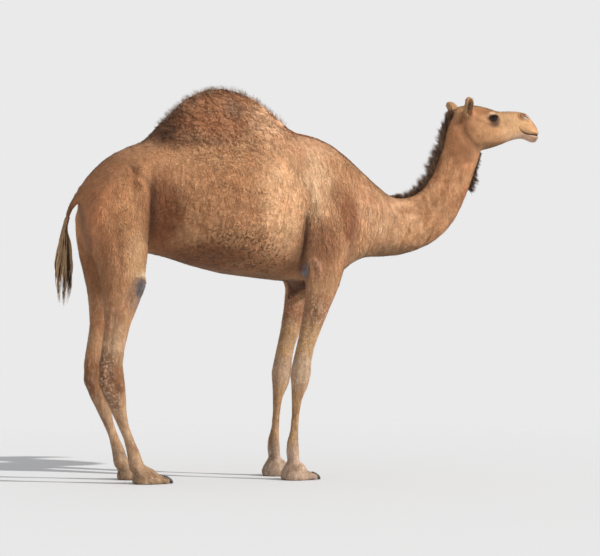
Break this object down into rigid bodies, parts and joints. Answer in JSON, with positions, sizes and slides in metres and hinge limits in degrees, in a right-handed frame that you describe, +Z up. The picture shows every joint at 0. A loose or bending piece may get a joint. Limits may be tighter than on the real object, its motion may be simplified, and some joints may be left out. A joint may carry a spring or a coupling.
{
  "type": "dromedary camel",
  "caption": "Life-size standing dromedary camel with a rounded hump, curved neck, dark nape mane, tufted tail and broad padded feet.",
  "frame": {"origin": "on the ground under the middle of the whole animal's bounding box", "axes": "+X forward towards the nose, +Y towards the animal's left side, +Z up"},
  "size_m": [2.751, 0.6534, 2.076],
  "materials": {
    "hide": "short tan hair lying flat",
    "hump_wool": "curly brown wool",
    "muzzle": "fine pale hair",
    "shank": "very short hair over hard skin",
    "dark_hair": "stiff dark brown hair",
    "tail_hair": "long brown and grey hair",
    "callus": "bare grey callus",
    "horn": "dark nail",
    "eye": "wet dark brown eye"
  },
  "bodies": {
    "root": {"head": "hide", "lower_jaw": "muzzle", "ear_left": "hide", "ear_right": "hide", "eye_left": "eye", "eye_right": "eye", "neck_upper": "hide", "neck_middle": "hide", "neck_lower": "hide", "neck_root": "hide", "mane": "dark_hair", "beard": "dark_hair", "trunk": "hide", "hump": "hump_wool", "chest_pad": "callus", "tail": "hide", "tail_tuft": "tail_hair", "fore_left_forearm": "hide", "fore_left_cannon": "shank", "fore_left_foot": "shank", "fore_left_nail_outer": "horn", "fore_left_nail_inner": "horn", "fore_right_forearm": "hide", "fore_right_cannon": "shank", "fore_right_foot": "shank", "fore_right_nail_outer": "horn", "fore_right_nail_inner": "horn", "hind_left_gaskin": "hide", "hind_left_cannon": "shank", "hind_left_foot": "shank", "hind_left_nail_outer": "horn", "hind_left_nail_inner": "horn", "hind_right_gaskin": "hide", "hind_right_cannon": "shank", "hind_right_foot": "shank", "hind_right_nail_outer": "horn", "hind_right_nail_inner": "horn"}
  },
  "joints": []
}
